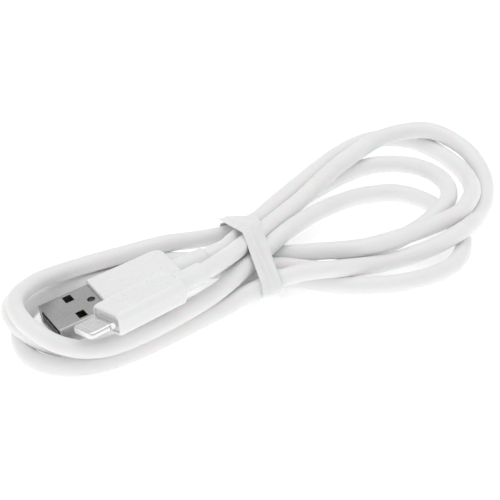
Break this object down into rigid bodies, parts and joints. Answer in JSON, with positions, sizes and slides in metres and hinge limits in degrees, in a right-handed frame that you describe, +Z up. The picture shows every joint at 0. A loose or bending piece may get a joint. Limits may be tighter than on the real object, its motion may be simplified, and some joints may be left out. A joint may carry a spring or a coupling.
{
  "type": "charging cable",
  "caption": "Round white charging cable folded into a hank with a twist tie, with a rectangular host plug and a thin reversible device plug.",
  "frame": {"origin": "middle of the folded cable's base, on the surface that it lies on", "axes": "+X along the hank from the plugs to the far loops, +Z up"},
  "size_m": [0.123, 0.0596, 0.0158],
  "materials": {
    "cord_jacket": "soft white thermoplastic elastomer, satin",
    "grip_plastic": "white moulded plastic, satin to gloss",
    "relief_rubber": "soft white elastomer, satin",
    "inner_plastic": "ivory moulded polyethylene, matt",
    "carrier_plastic": "black moulded plastic, matt",
    "insert_plastic": "pale grey moulded plastic, satin",
    "plated_steel": "nickel-plated sheet steel",
    "polished_steel": "bright plated steel",
    "gold_plate": "gold-plated contact",
    "board_laminate": "green solder mask, satin",
    "chip_epoxy": "black moulded epoxy, matt",
    "wire_red": "red wire insulation",
    "wire_white": "white wire insulation",
    "wire_green": "green wire insulation",
    "wire_black": "black wire insulation",
    "tie_plastic": "white PVC ribbon, satin",
    "tie_steel": "galvanised iron wire"
  },
  "bodies": {
    "cord": {"cord": "cord_jacket", "tie_ribbon": "tie_plastic", "tie_wire": "tie_steel"},
    "host_plug": {"host_shell": "plated_steel", "host_contact_carrier": "carrier_plastic", "host_contacts": "gold_plate", "host_inner_mould": "inner_plastic", "host_grip": "grip_plastic", "host_strain_relief": "relief_rubber", "host_cord_end": "cord_jacket", "host_wire_power": "wire_red", "host_wire_data_minus": "wire_white", "host_wire_data_plus": "wire_green", "host_wire_ground": "wire_black"},
    "device_plug": {"device_tab": "polished_steel", "device_contact_insert": "insert_plastic", "device_contacts_top": "polished_steel", "device_contacts_bottom": "polished_steel", "device_front_collar": "grip_plastic", "device_circuit_board": "board_laminate", "device_chip": "chip_epoxy", "device_shield_can": "plated_steel", "device_inner_mould": "inner_plastic", "device_grip": "grip_plastic", "device_strain_relief": "relief_rubber", "device_cord_end": "cord_jacket", "device_wire_power": "wire_red", "device_wire_data_minus": "wire_white", "device_wire_data_plus": "wire_green", "device_wire_ground": "wire_black"}
  },
  "joints": [
    {"name": "host_plug_flex", "type": "hinge", "parent": "cord", "child": "host_plug", "pos_m": [-0.01922, -0.0079, 0.00813], "axis": [-0.053, 0.995, -0.0844], "range_deg": [0, 12], "stiffness_Nm_per_rad": 0.02, "deforming": ["host_strain_relief", "host_cord_end"]},
    {"name": "device_plug_flex", "type": "hinge", "parent": "cord", "child": "device_plug", "pos_m": [-0.02396, -0.01839, 0.0124], "axis": [-0.2902, 0.9318, -0.2181], "range_deg": [0, 25], "stiffness_Nm_per_rad": 0.02, "deforming": ["device_strain_relief", "device_cord_end"]}
  ]
}
